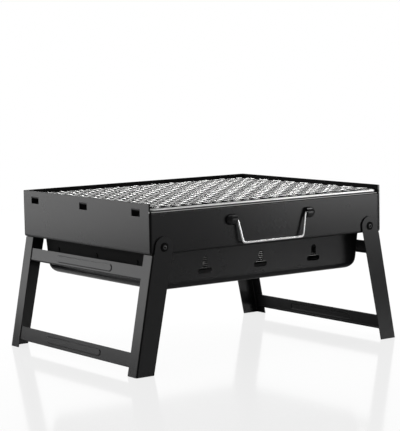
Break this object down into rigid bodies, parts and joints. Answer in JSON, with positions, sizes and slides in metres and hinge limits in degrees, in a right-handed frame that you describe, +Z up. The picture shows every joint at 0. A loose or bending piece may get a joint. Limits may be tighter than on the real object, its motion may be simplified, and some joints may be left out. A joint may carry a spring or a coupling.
{
  "type": "portable tabletop grill",
  "caption": "Folding charcoal grill for the table: sheet-steel body on two folding leg frames, hung ember pan with air vents, lift-off woven wire grille and wire carrying handles.",
  "frame": {"origin": "on the floor, under the middle of the body", "axes": "+X along the body towards the right leg frame, -Y towards the front panel, +Z up"},
  "size_m": [0.3974, 0.2926, 0.196],
  "materials": {
    "body_coat": "semi-gloss black heat-resistant coat",
    "leg_coat": "semi-gloss black heat-resistant coat",
    "pan_coat": "semi-gloss black heat-resistant coat on deep-drawn sheet",
    "rivet_coat": "black coated rivets and washers",
    "grille_chrome": "bright chromed wire",
    "grate_chrome": "chromed wire, slightly dull",
    "handle_chrome": "polished chromed wire"
  },
  "bodies": {
    "body": {"front_panel": "body_coat", "back_panel": "body_coat", "left_end_panel": "body_coat", "right_end_panel": "body_coat", "pivot_washer_front_left": "rivet_coat", "pivot_washer_front_right": "rivet_coat", "pivot_washer_back_left": "rivet_coat", "pivot_washer_back_right": "rivet_coat", "pivot_rivet_front_left": "rivet_coat", "pivot_rivet_front_right": "rivet_coat", "pivot_rivet_back_left": "rivet_coat", "pivot_rivet_back_right": "rivet_coat"},
    "left_leg_frame": {"left_front_leg": "leg_coat", "left_back_leg": "leg_coat", "left_upper_rail": "leg_coat", "left_lower_rail": "leg_coat"},
    "right_leg_frame": {"right_front_leg": "leg_coat", "right_back_leg": "leg_coat", "right_upper_rail": "leg_coat", "right_lower_rail": "leg_coat"},
    "ember_pan_body": {"ember_pan": "pan_coat", "grate_bracket_left": "pan_coat", "grate_bracket_right": "pan_coat", "pan_rivets_left": "rivet_coat", "pan_rivets_right": "rivet_coat"},
    "charcoal_grate": {"charcoal_grate_wires": "grate_chrome", "charcoal_grate_bars": "grate_chrome"},
    "cooking_grille": {"grille_frame": "grille_chrome", "grille_long_wires": "grille_chrome", "grille_cross_wires": "grille_chrome"},
    "front_handle_body": {"front_handle": "handle_chrome"},
    "back_handle_body": {"back_handle": "handle_chrome"}
  },
  "joints": [
    {"name": "left_leg_fold", "type": "hinge", "parent": "body", "child": "left_leg_frame", "pos_m": [-0.1563, 0, 0.1457], "axis": [0, -1, 0], "range_deg": [0, 100]},
    {"name": "right_leg_fold", "type": "hinge", "parent": "body", "child": "right_leg_frame", "pos_m": [0.1563, 0, 0.1457], "axis": [0, 1, 0], "range_deg": [0, 100]},
    {"name": "ember_pan_lift", "type": "slide", "parent": "body", "child": "ember_pan_body", "axis": [0, 0, 1], "range_m": [0, 0.0494]},
    {"name": "charcoal_grate_lift", "type": "slide", "parent": "ember_pan_body", "child": "charcoal_grate", "axis": [0, 0, 1], "range_m": [0, 0.06]},
    {"name": "grille_lift", "type": "slide", "parent": "body", "child": "cooking_grille", "axis": [0, 0, 1], "range_m": [0, 0.1]},
    {"name": "front_handle_swing", "type": "hinge", "parent": "body", "child": "front_handle_body", "pos_m": [0, -0.1423, 0.17], "axis": [-1, 0, 0], "range_deg": [0, 165]},
    {"name": "back_handle_swing", "type": "hinge", "parent": "body", "child": "back_handle_body", "pos_m": [0, 0.1423, 0.17], "axis": [1, 0, 0], "range_deg": [0, 165]}
  ],
  "couplings": [
    {"joint": "right_leg_fold", "follows": "left_leg_fold", "ratio": 1},
    {"joint": "ember_pan_lift", "follows": "left_leg_fold", "m_per_rad": 0.02828}
  ]
}
